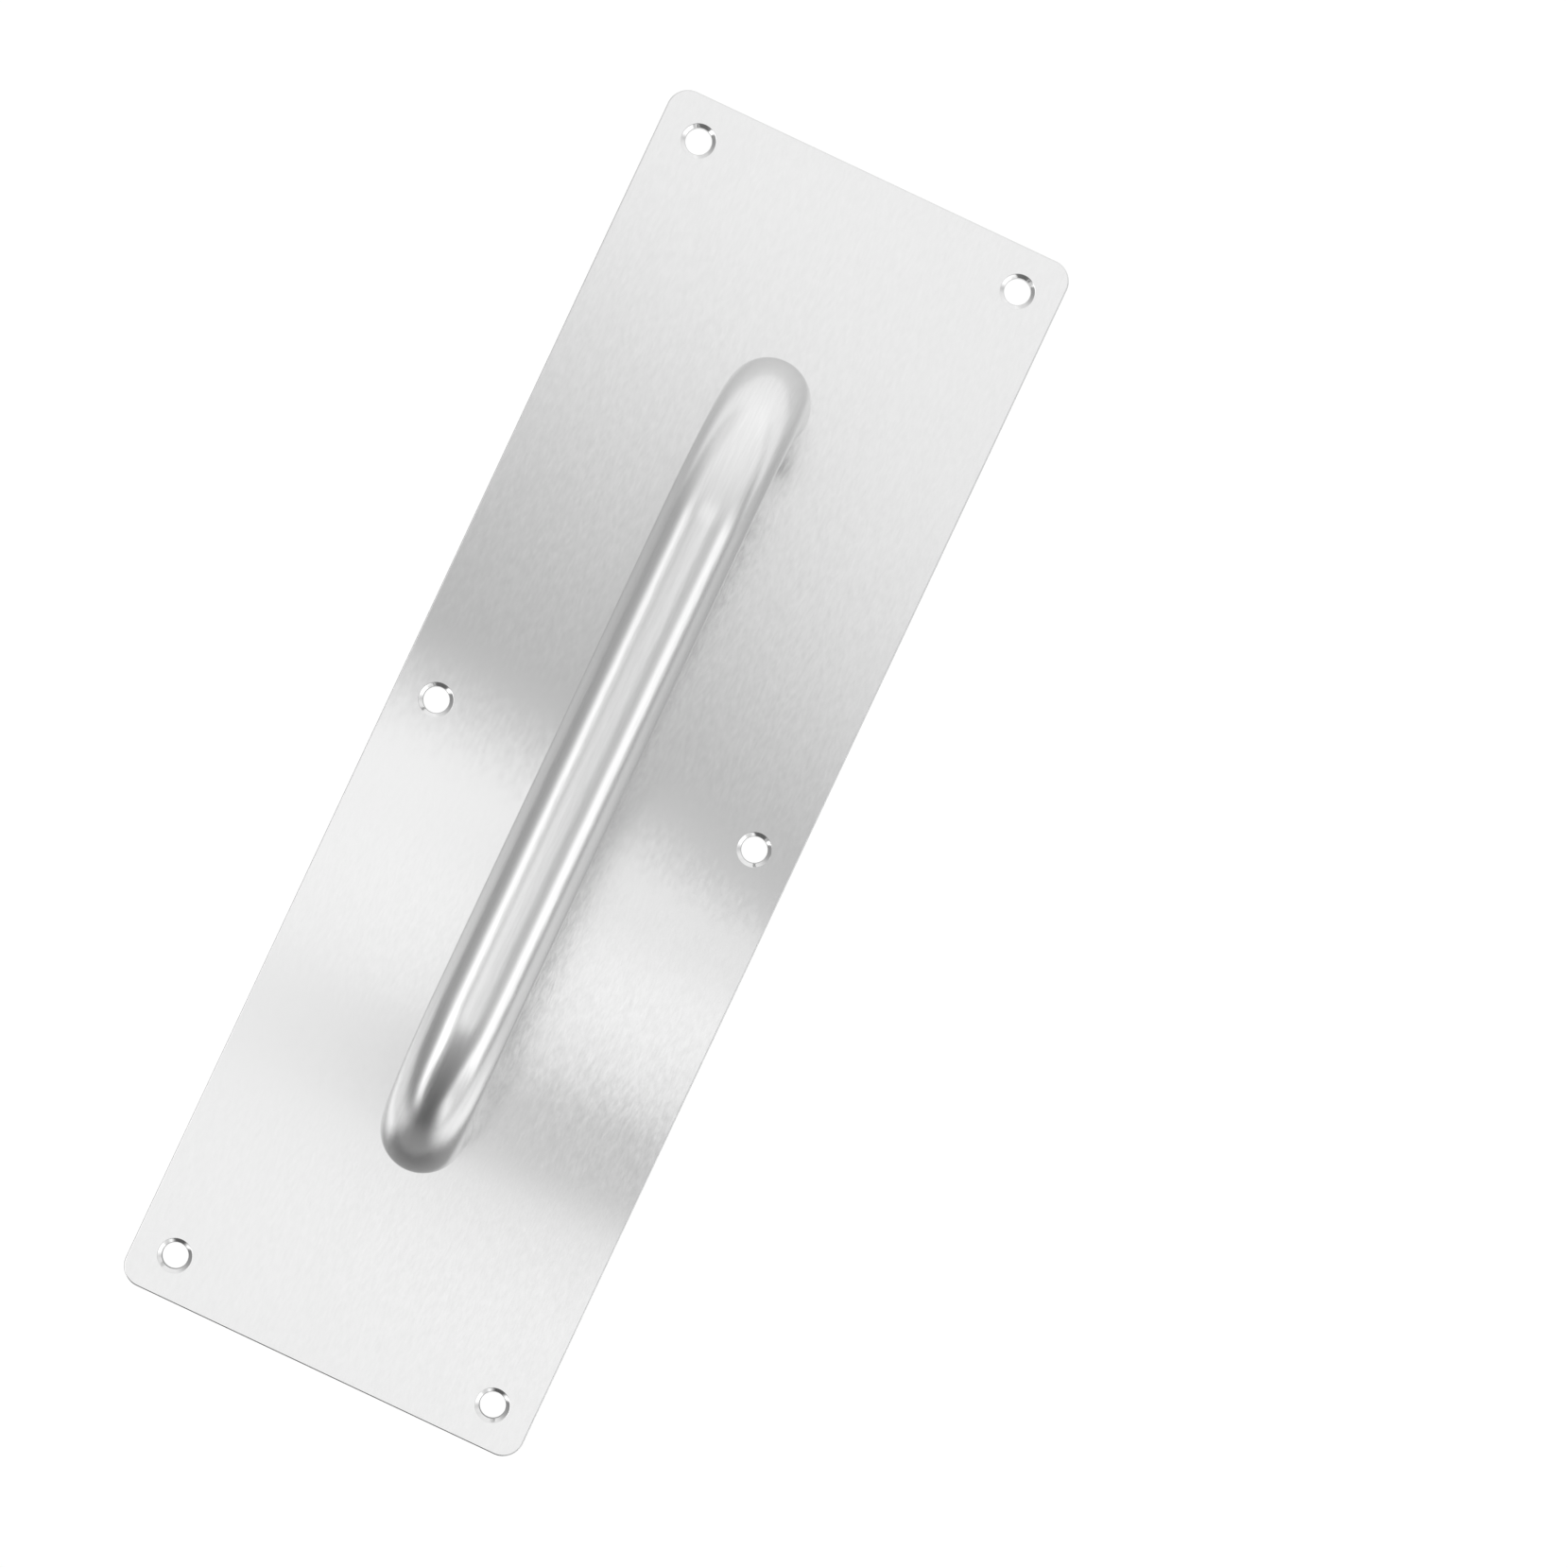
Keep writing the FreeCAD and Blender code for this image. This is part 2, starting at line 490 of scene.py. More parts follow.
def fixing_places():
    """Centres of the six fixing holes."""
    x = corner_holes["spacing_x_mm"] * MM / 2
    y = corner_holes["spacing_y_mm"] * MM / 2
    return [(side * x, row * y) for row in (-1, 0, 1) for side in (-1, 1)]


def fixing_hole_loops(bm, settings, centre):
    """Loops down one fixing hole: rim, countersink and drilled wall."""
    sink = settings.sink_diameter / 2
    depth = sink - HOLE_RADIUS
    break_width = settings.hole_edge_round
    profile = [
        (sink + break_width, FRONT_Z),
        (sink + break_width / 4, FRONT_Z - break_width / 4),
        (sink - break_width, FRONT_Z - break_width),
        (HOLE_RADIUS * DISH_RADIUS, FRONT_Z - depth * DISH_DEPTH),
        (HOLE_RADIUS, FRONT_Z - depth),
        (HOLE_RADIUS, 0.0),
    ]
    return [ring(bm, radius, z, centre) for radius, z in profile]


def screw_hole_loops(bm, plate, screw, centre):
    """Loops of the hole under one foot: a plain cone that seats a screw's head from behind."""
    mouth = HEAD_RADIUS + plate.seat_clearance + screws_low.z + screw.head_rim
    return [ring(bm, mouth - z, z, centre) for z in (FRONT_Z, 0.0)]


def plate_mesh(plate, screw):
    """The plate as one closed mesh."""
    bm = bmesh.new()
    side = [plate_outline(bm, plate, 0.0, 0.0)]
    for inset, drop in rounded_edge(plate.edge_round, EDGE_STEPS):
        side.append(plate_outline(bm, plate, inset, FRONT_Z - drop))
    bridge_all(bm, side)
    holes = [fixing_hole_loops(bm, plate, centre) for centre in fixing_places()]
    holes += [
        screw_hole_loops(bm, plate, screw, (0.0, foot_y)) for foot_y in (LOWER_FOOT_Y, UPPER_FOOT_Y)
    ]
    brushed_faces = len(bm.faces)
    for loops in holes:
        bridge_all(bm, loops)
    bm.faces.ensure_lookup_table()
    for face in bm.faces[brushed_faces:]:
        face.material_index = 1
    fill_between(bm, [side[-1]] + [loops[0] for loops in holes])
    fill_between(bm, [side[0]] + [loops[-1] for loops in holes])
    bmesh.ops.recalc_face_normals(bm, faces=bm.faces[:])
    return mesh_from(bm, "brushed_backplate")


# Geometry trees

# Points of the tube closer than this are welded
WELD_DISTANCE = 0.002 * MM


def new_tree(name, inputs):
    """A geometry tree with a mesh going in and out, and its inputs by their names."""
    tree = bpy.data.node_groups.new(name, "GeometryNodeTree")
    tree.interface.new_socket("Geometry", in_out="INPUT", socket_type="NodeSocketGeometry")
    tree.interface.new_socket("Geometry", in_out="OUTPUT", socket_type="NodeSocketGeometry")
    for label, kind in inputs:
        tree.interface.new_socket(label, in_out="INPUT", socket_type="NodeSocket" + kind)
    ports = tree.nodes.new("NodeGroupInput").outputs
    return tree, {port.name: port for port in ports if port.name}


def run_tree(piece, tree, values):
    """Run a geometry tree on a piece with named values, and keep the result as a plain mesh."""
    modifier = piece.modifiers.new(tree.name, "NODES")
    modifier.node_group = tree
    for item in tree.interface.items_tree:
        if item.in_out == "INPUT" and item.name in values:
            modifier[item.identifier] = values[item.name]
    bpy.context.view_layer.update()
    evaluated = piece.evaluated_get(bpy.context.evaluated_depsgraph_get())
    mesh = bpy.data.meshes.new_from_object(evaluated)
    if not mesh.polygons:
        raise RuntimeError(piece.name + " came out empty")
    mesh.name = piece.name
    piece.modifiers.remove(modifier)
    piece.data = mesh
    return mesh


def end_tree(tree, geometry, material):
    """Realize what the tree made, give it its material and put it out."""
    realized = tree.nodes.new("GeometryNodeRealizeInstances")
    painted = tree.nodes.new("GeometryNodeSetMaterial")
    tree.links.new(geometry, realized.inputs["Geometry"])
    tree.links.new(realized.outputs[0], painted.inputs["Geometry"])
    tree.links.new(material, painted.inputs["Material"])
    tree.links.new(painted.outputs[0], tree.nodes.new("NodeGroupOutput").inputs[0])


def stored(tree, geometry, name, kind, value):
    """Store a named value on each point."""
    node = add_node(tree, "GeometryNodeStoreNamedAttribute", data_type=kind, domain="POINT")
    node.inputs["Name"].default_value = name
    tree.links.new(geometry, node.inputs["Geometry"])
    tree.links.new(value, node.inputs["Value"])
    return node.outputs[0]


def bent_path(tree, sizes, raised):
    """Line of leg, bend, grip, bend and leg, with its feet raised off the plate."""
    corners = add_node(tree, "GeometryNodeCurvePrimitiveQuadrilateral", mode="POINTS")
    foot_z = calculate(tree, "ADD", sizes["Foot Height"], raised)
    places = [
        (sizes["Lower Foot"], foot_z),
        (sizes["Lower Foot"], sizes["Grip Height"]),
        (sizes["Upper Foot"], sizes["Grip Height"]),
        (sizes["Upper Foot"], foot_z),
    ]
    for index, (y, z) in enumerate(places):
        point = corners.inputs["Point " + str(index + 1)]
        tree.links.new(vector_of(tree, 0.0, y, z), point)
    opened = tree.nodes.new("GeometryNodeSetSplineCyclic")
    opened.inputs["Cyclic"].default_value = False
    bends = add_node(tree, "GeometryNodeFilletCurve", mode="POLY")
    tree.links.new(corners.outputs[0], opened.inputs["Geometry"])
    tree.links.new(opened.outputs[0], bends.inputs["Curve"])
    tree.links.new(sizes["Bend Steps"], bends.inputs["Count"])
    tree.links.new(sizes["Bend Radius"], bends.inputs["Radius"])
    tangent = tree.nodes.new("GeometryNodeInputTangent").outputs[0]
    length = tree.nodes.new("GeometryNodeSplineParameter").outputs["Length"]
    path = stored(tree, bends.outputs[0], "brush_direction", "FLOAT_VECTOR", tangent)
    return stored(tree, path, "path_length", "FLOAT", length)


def swept(tree, path, radius, sides):
    """Round tube along a path, open at both ends."""
    circle = tree.nodes.new("GeometryNodeCurvePrimitiveCircle")
    tree.links.new(sides, circle.inputs["Resolution"])
    tree.links.new(radius, circle.inputs["Radius"])
    place = tree.nodes.new("GeometryNodeInputPosition").outputs[0]
    profile = stored(tree, circle.outputs[0], "around", "FLOAT_VECTOR", place)
    sweep = tree.nodes.new("GeometryNodeCurveToMesh")
    tree.links.new(path, sweep.inputs["Curve"])
    tree.links.new(profile, sweep.inputs["Profile Curve"])
    return sweep.outputs[0]


def drawn_in(tree, mesh, selection, sizes, share, drop):
    """Carry the selected end edges on: down by drop, and in towards the middle of their leg."""
    extruded = add_node(tree, "GeometryNodeExtrudeMesh", mode="EDGES")
    tree.links.new(mesh, extruded.inputs["Mesh"])
    tree.links.new(selection, extruded.inputs["Selection"])
    extruded.inputs["Offset Scale"].default_value = 0.0
    x, y, z = split(tree, tree.nodes.new("GeometryNodeInputPosition").outputs[0])
    lower = sizes["Lower Foot"]
    upper = sizes["Upper Foot"]
    middle = product(tree, total(tree, lower, upper), 0.5)
    above = calculate(tree, "GREATER_THAN", y, middle)
    span = calculate(tree, "SUBTRACT", upper, lower)
    foot = calculate(tree, "MULTIPLY_ADD", above, span, lower)
    new_x = product(tree, x, share)
    new_y = calculate(tree, "MULTIPLY_ADD", calculate(tree, "SUBTRACT", y, foot), share, foot)
    new_z = calculate(tree, "SUBTRACT", z, drop)
    move = tree.nodes.new("GeometryNodeSetPosition")
    tree.links.new(extruded.outputs["Mesh"], move.inputs["Geometry"])
    tree.links.new(extruded.outputs["Top"], move.inputs["Selection"])
    tree.links.new(vector_of(tree, new_x, new_y, new_z), move.inputs["Position"])
    return move.outputs[0], extruded.outputs["Top"]


def bent_tube_tree():
    """Geometry tree of the bent tube: outer wall, chamfered feet, rims and bore."""
    tree, sizes = new_tree("bent_tube", [
        ("Lower Foot", "Float"), ("Upper Foot", "Float"), ("Foot Height", "Float"),
        ("Grip Height", "Float"), ("Bend Radius", "Float"), ("Tube Radius", "Float"),
        ("Bore Radius", "Float"), ("Foot Chamfer", "Float"), ("Sides", "Int"),
        ("Bend Steps", "Int"), ("Material", "Material"),
    ])
    outer_path = bent_path(tree, sizes, sizes["Foot Chamfer"])
    outer = swept(tree, outer_path, sizes["Tube Radius"], sizes["Sides"])
    bore = swept(tree, bent_path(tree, sizes, 0.0), sizes["Bore Radius"], sizes["Sides"])
    neighbours = tree.nodes.new("GeometryNodeInputMeshEdgeNeighbors").outputs[0]
    open_edge = calculate(tree, "COMPARE", neighbours, 1.0, 0.1)
    rim_radius = calculate(tree, "SUBTRACT", sizes["Tube Radius"], sizes["Foot Chamfer"])
    to_rim = calculate(tree, "DIVIDE", rim_radius, sizes["Tube Radius"])
    to_bore = calculate(tree, "DIVIDE", sizes["Bore Radius"], rim_radius)
    chamfered, rim = drawn_in(tree, outer, open_edge, sizes, to_rim, sizes["Foot Chamfer"])
    closed, _ = drawn_in(tree, chamfered, rim, sizes, to_bore, 0.0)
    inside = tree.nodes.new("GeometryNodeFlipFaces")
    tree.links.new(bore, inside.inputs["Mesh"])
    joined = tree.nodes.new("GeometryNodeJoinGeometry")
    tree.links.new(closed, joined.inputs[0])
    tree.links.new(inside.outputs[0], joined.inputs[0])
    welded = tree.nodes.new("GeometryNodeMergeByDistance")
    welded.inputs["Distance"].default_value = WELD_DISTANCE
    tree.links.new(joined.outputs[0], welded.inputs["Geometry"])
    end_tree(tree, welded.outputs[0], sizes["Material"])
    return tree


def screw_row_tree():
    """Geometry tree that sets copies of one screw in a row."""
    tree, sizes = new_tree("screw_row", [
        ("First Place", "Vector"), ("Spacing", "Vector"), ("Count", "Int"), ("Material", "Material"),
    ])
    row = add_node(tree, "GeometryNodeMeshLine", mode="OFFSET")
    tree.links.new(sizes["Count"], row.inputs["Count"])
    tree.links.new(sizes["First Place"], row.inputs["Start Location"])
    tree.links.new(sizes["Spacing"], row.inputs["Offset"])
    copies = tree.nodes.new("GeometryNodeInstanceOnPoints")
    tree.links.new(row.outputs[0], copies.inputs["Points"])
    tree.links.new(sizes["Geometry"], copies.inputs["Instance"])
    end_tree(tree, copies.outputs[0], sizes["Material"])
    return tree


# The screws

# Flat share of the thread's crest and of its root, and the share of a pitch in which it runs out
THREAD_FLAT = 0.12
THREAD_RUNOUT = 0.7

# Broken edge round the head, and depth of the socket's drilled point as a share of the socket's
HEAD_BREAK = 0.1 * MM
SOCKET_POINT = 1.15


def thread_radius(settings, turns):
    """Radius of the thread's surface, by the number of turns from its crest."""
    flank = abs((turns % 1.0) - 0.5) * 2
    share = min(max((flank - THREAD_FLAT) / (1 - 2 * THREAD_FLAT), 0.0), 1.0)
    return settings.diameter / 2 - settings.thread_depth * (1 - share)


def thread_loops(bm, settings, start, end):
    """Loops up the shank whose radius follows the helix of its thread."""
    root = settings.diameter / 2 - settings.thread_depth
    count = round((end - start) / settings.pitch * THREAD_ROWS_PER_PITCH)
    loops = []
    for row in range(count + 1):
        z = start + (end - start) * row / count
        fade = min((z - start) / settings.pitch, (end - z) / (THREAD_RUNOUT * settings.pitch), 1.0)
        loop = []
        for step in range(THREAD_STEPS):
            angle = 2 * math.pi * step / THREAD_STEPS
            full = thread_radius(settings, z / settings.pitch - step / THREAD_STEPS)
            radius = root + (full - root) * max(fade, 0.0)
            loop.append(bm.verts.new((radius * math.cos(angle), radius * math.sin(angle), z)))
        loops.append(loop)
    return loops


def socket_loop(bm, settings, z):
    """Loop round the six-sided socket, with as many vertices as the thread."""
    loop = []
    for step in range(THREAD_STEPS):
        angle = 2 * math.pi * step / THREAD_STEPS
        from_flat = (angle + math.pi / 6) % (math.pi / 3) - math.pi / 6
        radius = settings.socket_width / 2 / math.cos(from_flat)
        loop.append(bm.verts.new((radius * math.cos(angle), radius * math.sin(angle), z)))
    return loop


def screw_mesh(settings):
    """One countersunk socket screw, with the face of its head at height zero."""
    bm = bmesh.new()
    length = screws_high.z - screws_low.z
    root = settings.diameter / 2 - settings.thread_depth
    neck = settings.head_rim + HEAD_RADIUS - root
    socket = [socket_loop(bm, settings, settings.socket_depth), socket_loop(bm, settings, 0.0)]
    head = [
        (HEAD_RADIUS - HEAD_BREAK, 0.0),
        (HEAD_RADIUS, HEAD_BREAK),
        (HEAD_RADIUS, settings.head_rim),
    ]
    loops = socket + [ring(bm, radius, z, sides=THREAD_STEPS) for radius, z in head]
    loops += thread_loops(bm, settings, neck, length)
    bridge_all(bm, loops)
    for loop, tip_z in ((loops[0], settings.socket_depth * SOCKET_POINT), (loops[-1], length)):
        tip = bm.verts.new((0.0, 0.0, tip_z))
        for index in range(len(loop)):
            bm.faces.new((loop[index - 1], loop[index], tip))
    bmesh.ops.recalc_face_normals(bm, faces=bm.faces[:])
    return mesh_from(bm, "socket_screw")


# The floor

# How far it lies below the plate's back
FLOOR_DROP = 0.05 * MM

# Under the plate the ground is clear, so that the plate's back mirrors the room. The clear part
# ends this far inside the plate's sides and corners, and at this share of the fixing holes' radius.
SIDE_MARGIN = 0.5 * MM
CORNER_MARGIN = 3.6 * MM
HOLE_MARGIN = 1.07

# Look of the ground, strength of its glow and the share of its look that the glow takes
GROUND_GREY = 0.42
GROUND_ROUGHNESS = 0.18
GROUND_IOR = 1.7
GROUND_GLOW = 1.18
GLOW_SHARE = 0.8

# Middle of the pool of light on the ground beyond the handle's upper right
POOL_PLACE = (0.15, 0.25, 0.0)

# Shortest distance up or down the plate that the slants of light on the ground are reckoned with
SHORTEST_REACH = 0.1


def mixed(tree, share, first, second):
    """Two surfaces mixed, by the share of the second one that shows."""
    mix = tree.nodes.new("ShaderNodeMixShader")
    for socket, value in zip(mix.inputs, (share, first, second)):
        tree.links.new(value, socket)
    return mix.outputs[0]


def under_plate(tree, place):
    """A level that is 1 on the ground that the plate covers, and 0 beside it and in its fixing holes."""
    x, y, _ = split(tree, place)
    across = calculate(tree, "ABSOLUTE", x)
    along = calculate(tree, "ABSOLUTE", y)
    limits = [
        (across, plate_high.x - SIDE_MARGIN),
        (along, plate_high.y - SIDE_MARGIN),
        (total(tree, across, along), plate_high.x + plate_high.y - CORNER_MARGIN),
    ]
    within = [calculate(tree, "LESS_THAN", value, limit) for value, limit in limits]
    folded = vector_of(tree, across, along, 0.0)
    rim = HOLE_RADIUS * HOLE_MARGIN
    beside_holes = [
        calculate(tree, "GREATER_THAN", distance(tree, folded, (hole_x, hole_y, 0.0)), rim)
        for hole_x, hole_y in fixing_places()
        if hole_x > 0 and hole_y >= 0
    ]
    return product(tree, *within, *beside_holes)


def slant(tree, aside, reach):
    """How far sideways a place lies, for each metre that it lies up or down the plate."""
    return calculate(tree, "DIVIDE", aside, calculate(tree, "MAXIMUM", reach, SHORTEST_REACH))


def mirrored_glow(tree, place):
    """How much of the ground's glow the metal mirrors, from 0 to 1, by place in metres.

    It is full beyond the upper end, weaker near the plate and round its lower right corner, and
    gone in the gloom that runs out from the lower end.
    """
    x, y, _ = split(tree, place)
    aside = calculate(tree, "ABSOLUTE", x)
    pool = smooth_fall(tree, distance(tree, place, POOL_PLACE), 0.45, 0.75)
    ahead = product(
        tree,
        smooth_fall(tree, slant(tree, aside, y), 0.45, 0.9),
        smooth_step(tree, y, 0.25, 0.4),
    )
    reached = calculate(tree, "MAXIMUM", pool, ahead)
    beyond = smooth_step(tree, y, 0.10, 0.17, 0.28, 1.0)
    nearby = product(
        tree,
        smooth_step(tree, y, -0.13, 0.05, 0.55, 0.0),
        smooth_step(tree, x, -0.05, 0.05, 1.0, 0.7),
    )
    beside = product(
        tree,
        smooth_step(tree, x, 0.04, 0.06),
        smooth_fall(tree, x, 0.1, 0.14),
        smooth_step(tree, y, -0.07, -0.11),
    )
    below = product(tree, smooth_step(tree, x, 0.05, 0.12), smooth_step(tree, y, -0.15, -0.22))
    corner = product(tree, calculate(tree, "MAXIMUM", beside, below), 0.6)
    gloom = product(
        tree,
        smooth_fall(tree, slant(tree, aside, product(tree, y, -1.0)), 0.2, 0.55),
        smooth_fall(tree, y, -0.14, -0.05),
    )
    return product(tree, reached, total(tree, beyond, nearby, corner), remainder(tree, gloom))


def floor_material():
    """White ground that keeps the object's shadow, clear from below and under the plate."""
    material = bpy.data.materials.new("white_floor")
    material.use_nodes = True
    tree = material.node_tree
    shader = tree.nodes["Principled BSDF"]
    shader.inputs["Base Color"].default_value = (GROUND_GREY, GROUND_GREY, GROUND_GREY, 1.0)
    shader.inputs["Roughness"].default_value = GROUND_ROUGHNESS
    shader.inputs["IOR"].default_value = GROUND_IOR
    place = tree.nodes.new("ShaderNodeTexCoord").outputs["Object"]
    ray = tree.nodes.new("ShaderNodeLightPath").outputs
    mirrored_ray = calculate(tree, "MAXIMUM", ray["Is Glossy Ray"], ray["Is Transmission Ray"])
    mirrored_share = product(tree, mirrored_ray, mirrored_glow(tree, place))
    seen = calculate(tree, "MAXIMUM", ray["Is Camera Ray"], mirrored_share)
    glow = tree.nodes.new("ShaderNodeEmission")
    glow.inputs["Strength"].default_value = GROUND_GLOW
    ground = mixed(tree, product(tree, seen, GLOW_SHARE), shader.outputs[0], glow.outputs[0])
    backfacing = tree.nodes.new("ShaderNodeNewGeometry").outputs["Backfacing"]
    clear_share = calculate(tree, "MAXIMUM", backfacing, under_plate(tree, place))
    clear = tree.nodes.new("ShaderNodeBsdfTransparent")
    surface = mixed(tree, clear_share, ground, clear.outputs[0])
    tree.links.new(surface, tree.nodes["Material Output"].inputs[0])
    return material


# The room. Directions in it are given by how far they lean sideways (towards X), lengthways
# (towards Y, the handle's upper end) and upwards, each from -1 to 1, and its strips by the angle
# in degrees at which they stand beside the handle.

# Brightness of the room, by how far a direction leans lengthways
ROOM_STOPS = (
    (-1.0, 0.12),
    (-0.7, 0.26),
    (-0.34, 0.46),
    (0.0, 0.62),
    (0.42, 0.9),
    (0.7, 1.02),
    (1.0, 1.1),
)


def read_off(tree, value, stops):
    """A level read off straight lines between stops of value and level, for values from -1 to 1."""
    ramp = tree.nodes.new("ShaderNodeValToRGB")
    elements = ramp.color_ramp.elements
    for place, level in stops[2:]:
        elements.new((place + 1) / 2)
    for element, (place, level) in zip(elements, stops):
        element.position = (place + 1) / 2
        element.color = (level, level, level, 1.0)
    tree.links.new(calculate(tree, "MULTIPLY_ADD", value, 0.5, 0.5), ramp.inputs[0])
    return ramp.outputs[0]


def degrees_step(tree, value, start, end, low, high):
    """An angle that goes softly from low to high degrees while value goes from start to end."""
    return smooth_step(tree, value, start, end, math.radians(low), math.radians(high))


def room_level(tree, sideways, lengthways, upward):
    """Brightness of the room without its strips, shaded at its sides and in its far corners."""
    aside = calculate(tree, "ABSOLUTE", sideways)
    side = product(
        tree,
        smooth_step(tree, aside, 0.72, 1.0),
        smooth_step(tree, sideways, -0.5, 0.5, 0.31, 0.46),
        smooth_fall(tree, lengthways, 0.25, 0.7),
    )
    corner = product(
        tree,
        smooth_step(tree, aside, 0.25, 0.6),
        smooth_fall(tree, upward, 0.3, 0.65),
        smooth_step(tree, lengthways, 0.2, 0.5, 0.0, 0.12),
    )
    lit = remainder(tree, total(tree, side, corner))
    return product(tree, read_off(tree, lengthways, ROOM_STOPS), lit)


def left_strip(tree, angle, lengthways):
    """Level of the strip on the left, which bends up, then down, and widens towards the lower end."""
    middle = total(
        tree,
        degrees_step(tree, lengthways, 0.02, -0.13, -50.5, -42),
        degrees_step(tree, lengthways, -0.45, -1.0, 0, -28),
    )
    half_width = degrees_step(tree, lengthways, -0.05, -0.5, 8.5, 13)
    level = smooth_step(tree, lengthways, 0.35, -0.25, 0.1, 1.42)
    return product(tree, hump(tree, angle, middle, half_width, math.radians(5)), level)


def right_strip(tree, angle, lengthways, upward):
    """Level of the strip on the right, which sinks and widens too, and is dimmed where it is low."""
    middle = degrees_step(tree, lengthways, -0.5, -1.0, 67, 80)
    half_width = degrees_step(tree, lengthways, -0.2, -1.0, 14, 30)
    level = smooth_step(tree, lengthways, 0.35, -0.1, 0.15, 1.15)
    low_down = product(
        tree,
        hump(tree, lengthways, -0.66, 0.13, 0.06),
        smooth_step(tree, upward, 0.48, 0.34),
    )
    dimmed = calculate(tree, "MULTIPLY_ADD", low_down, -0.5, 1.0)
    return product(tree, hump(tree, angle, middle, half_width, math.radians(4)), level, dimmed)


def build_world(strength):
    """A pale room, dim beyond the handle's lower end, with a strip of soft light on either side."""
    world = bpy.data.worlds.new("studio")
    bpy.context.scene.world = world
    world.use_nodes = True
    tree = world.node_tree
    way = tree.nodes.new("ShaderNodeTexCoord").outputs["Generated"]
    sideways, lengthways, upward = split(tree, way)
    angle = calculate(tree, "ARCTAN2", sideways, upward)
    left = left_strip(tree, angle, lengthways)
    right = right_strip(tree, angle, lengthways, upward)
    strips = product(tree, total(tree, left, right), smooth_step(tree, lengthways, -0.98, -0.84))
    level = total(tree, room_level(tree, sideways, lengthways, upward), strips)
    background = tree.nodes["Background"]
    background.inputs["Color"].default_value = (1.0, 1.0, 1.0, 1.0)
    tree.links.new(product(tree, level, strength), background.inputs["Strength"])


# The overhead panel. Its corners and its pattern are given where the plate mirrors them, in
# millimetres from the plate's lower left corner.

PANEL_HEIGHT = 1.2
PANEL_LOW = Vector((-140.0, -40.0, 0.0))
PANEL_HIGH = Vector((300.0, 340.0, 0.0))
PLATE_MIDDLE = Vector((50.0, 150.0, 0.0))

# Level of the bright field, and of the rise above it, which takes this length to reach its own
FIELD_LEVEL = 0.59
RISE_LEVEL = 0.416
RISE_LENGTH = 134.0


def panel_light(name, low, high):
    """A level lamp over the handle, between two corners, as its node tree and its coordinates."""
    lamp = bpy.data.lights.new(name, "AREA")
    lamp.shape = "RECTANGLE"
    lamp.size = high.x - low.x
    lamp.size_y = high.y - low.y
    lamp.energy = math.pi * lamp.size * lamp.size_y
    light = bpy.data.objects.new(name, lamp)
    bpy.context.scene.collection.objects.link(light)
    light.location = (low + high) / 2
    light.visible_camera = False
    lamp.use_nodes = True
    tree = lamp.node_tree
    across, along, _ = split(tree, tree.nodes.new("ShaderNodeNewGeometry").outputs["Parametric"])
    return tree, across, along


def mirrored(corner):
    """Where the camera sees the panel's height mirrored in a place on the plate."""
    place = (corner - PLATE_MIDDLE) * MM
    seen = place + (place - CAMERA_PLACE) * (PANEL_HEIGHT / CAMERA_PLACE.z)
    seen.z = PANEL_HEIGHT
    return seen


def bright_field(tree, right, y):
    """The lower part of the panel, whose edge slants down and sharpens towards the right."""
    edge = calculate(tree, "MULTIPLY_ADD", right, -21.0, 152.5)
    softness = calculate(tree, "MULTIPLY_ADD", right, -12.0, 16.0)
    below = calculate(tree, "DIVIDE", calculate(tree, "SUBTRACT", edge, y), softness)
    return smooth_step(tree, below, -1.0, 1.0)


def field_dimming(tree, right, x, y):
    """The dimmer band across the bright field, faint left of the bar, and the line above it."""
    band = total(
        tree,
        product(tree, bell(tree, y, 72.0, 24.0), 0.5),
        product(tree, hump(tree, y, 71.5, 12.5, 6.0), 0.4),
    )
    side = total(
        tree,
        smooth_step(tree, x, 43.0, 46.0, 0.06, 1.0),
        smooth_step(tree, x, 75.0, 115.0, 0.0, -0.25),
    )
    line = product(tree, bell(tree, y, 125.0, 10.0), right, 0.44)
    return total(tree, product(tree, band, side), line)


def overhead_panel():
    """Soft light high over the plate, which mirrors a bright field and a slow rise above it."""
    tree, across, along = panel_light("overhead_panel", mirrored(PANEL_LOW), mirrored(PANEL_HIGH))
    x = calculate(tree, "MULTIPLY_ADD", across, PANEL_HIGH.x - PANEL_LOW.x, PANEL_LOW.x)
    y = calculate(tree, "MULTIPLY_ADD", along, PANEL_HIGH.y - PANEL_LOW.y, PANEL_LOW.y)
    right = smooth_step(tree, x, 10.0, 126.0)
    field = bright_field(tree, right, y)
    lit = product(tree, field, FIELD_LEVEL, remainder(tree, field_dimming(tree, right, x, y)))
    rise_start = calculate(tree, "MULTIPLY_ADD", right, -63.0, 161.0)
    above = calculate(tree, "SUBTRACT", y, rise_start)
    rise = smooth_step(tree, above, 0.0, RISE_LENGTH, 0.0, RISE_LEVEL)
    gap = product(tree, right, smooth_step(tree, y, 120.0, 200.0, 0.105, 0.0), remainder(tree, field))
    level = calculate(tree, "SUBTRACT", total(tree, lit, rise), gap)
    shown = calculate(tree, "MAXIMUM", level, 0.0)
    tree.links.new(shown, tree.nodes["Emission"].inputs["Strength"])


# The camera


def turned_towards(direction, upward):
    """Rotation whose -Z axis points along a direction, with its Y axis near upward."""
    back = -direction.normalized()
    right = upward.cross(back).normalized()
    up = back.cross(right)
    return Matrix((right, up, back)).transposed()


